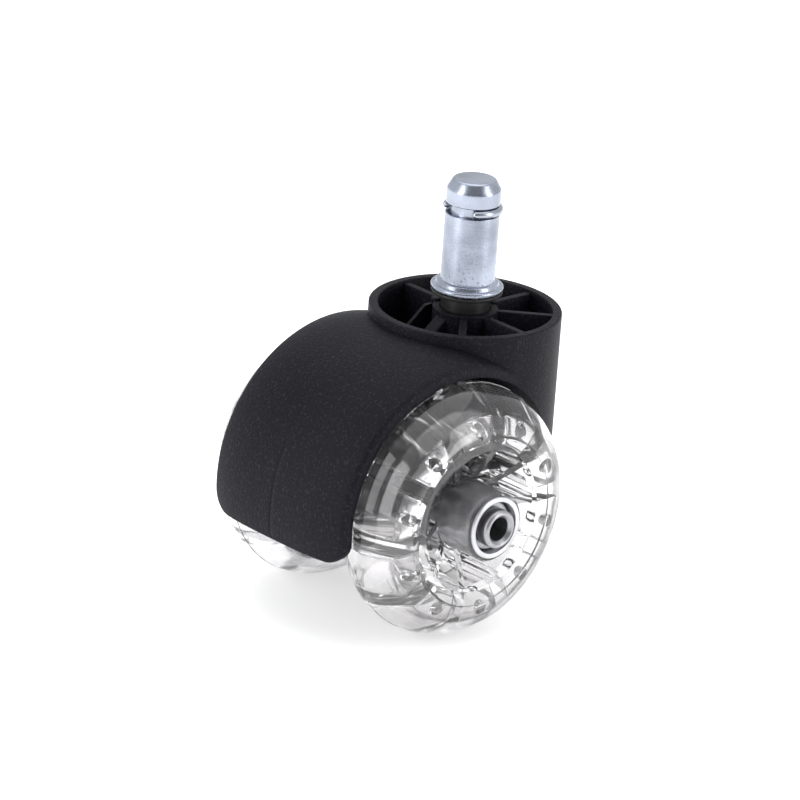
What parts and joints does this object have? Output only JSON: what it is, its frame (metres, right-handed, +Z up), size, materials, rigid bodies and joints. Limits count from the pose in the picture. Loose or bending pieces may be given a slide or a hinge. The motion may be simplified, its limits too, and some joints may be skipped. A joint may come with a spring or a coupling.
{
  "type": "twin-wheel chair caster",
  "caption": "Swivel chair caster with a plug-in stem, a hooded black body, a ribbed round cup and clear twin wheels on a hollow axle.",
  "frame": {"origin": "centre of the stem collar's flat top face, on the swivel axis, where the chair leg's socket sits", "axes": "+Z up along the stem; the hood's nose and the trailing wheels lie towards -X; the wheel axle runs along Y, and the right wheel, seen from the nose, is at -Y"},
  "size_m": [0.0685, 0.0658, 0.0864],
  "materials": {
    "zinc_stem": "bright zinc plate, lightly frosted",
    "spring_wire": "bright zinc-plated spring wire",
    "washer_nylon": "satin black nylon",
    "housing_nylon": "matt black glass-filled nylon with a fine pebbled grain",
    "bush_acetal": "smooth black acetal",
    "axle_steel": "drawn steel tube, zinc plated",
    "spacer_nylon": "natural nylon",
    "clear_core": "water-clear hard plastic",
    "clear_tyre": "water-clear soft polyurethane",
    "sleeve_steel": "turned steel, zinc plated"
  },
  "bodies": {
    "mounting_stem": {"stem": "zinc_stem", "grip_ring": "spring_wire", "thrust_washer": "washer_nylon", "retaining_ring": "spring_wire"},
    "swivel_housing": {"housing": "housing_nylon", "upper_stem_bush": "bush_acetal", "lower_stem_bush": "bush_acetal", "axle": "axle_steel", "right_spacer": "spacer_nylon", "left_spacer": "spacer_nylon"},
    "right_wheel": {"right_wheel_core": "clear_core", "right_tyre": "clear_tyre", "right_hub_sleeve": "sleeve_steel", "right_axle_bush": "bush_acetal", "right_end_washer": "axle_steel"},
    "left_wheel": {"left_wheel_core": "clear_core", "left_tyre": "clear_tyre", "left_hub_sleeve": "sleeve_steel", "left_axle_bush": "bush_acetal", "left_end_washer": "axle_steel"}
  },
  "joints": [
    {"name": "swivel", "type": "hinge", "parent": "mounting_stem", "child": "swivel_housing", "pos_m": [0, 0, 0], "axis": [0, 0, 1], "continuous": true},
    {"name": "right_wheel_roll", "type": "hinge", "parent": "swivel_housing", "child": "right_wheel", "pos_m": [-0.0176, 0, -0.0384], "axis": [0, 1, 0], "continuous": true},
    {"name": "left_wheel_roll", "type": "hinge", "parent": "swivel_housing", "child": "left_wheel", "pos_m": [-0.0176, 0, -0.0384], "axis": [0, 1, 0], "continuous": true}
  ]
}
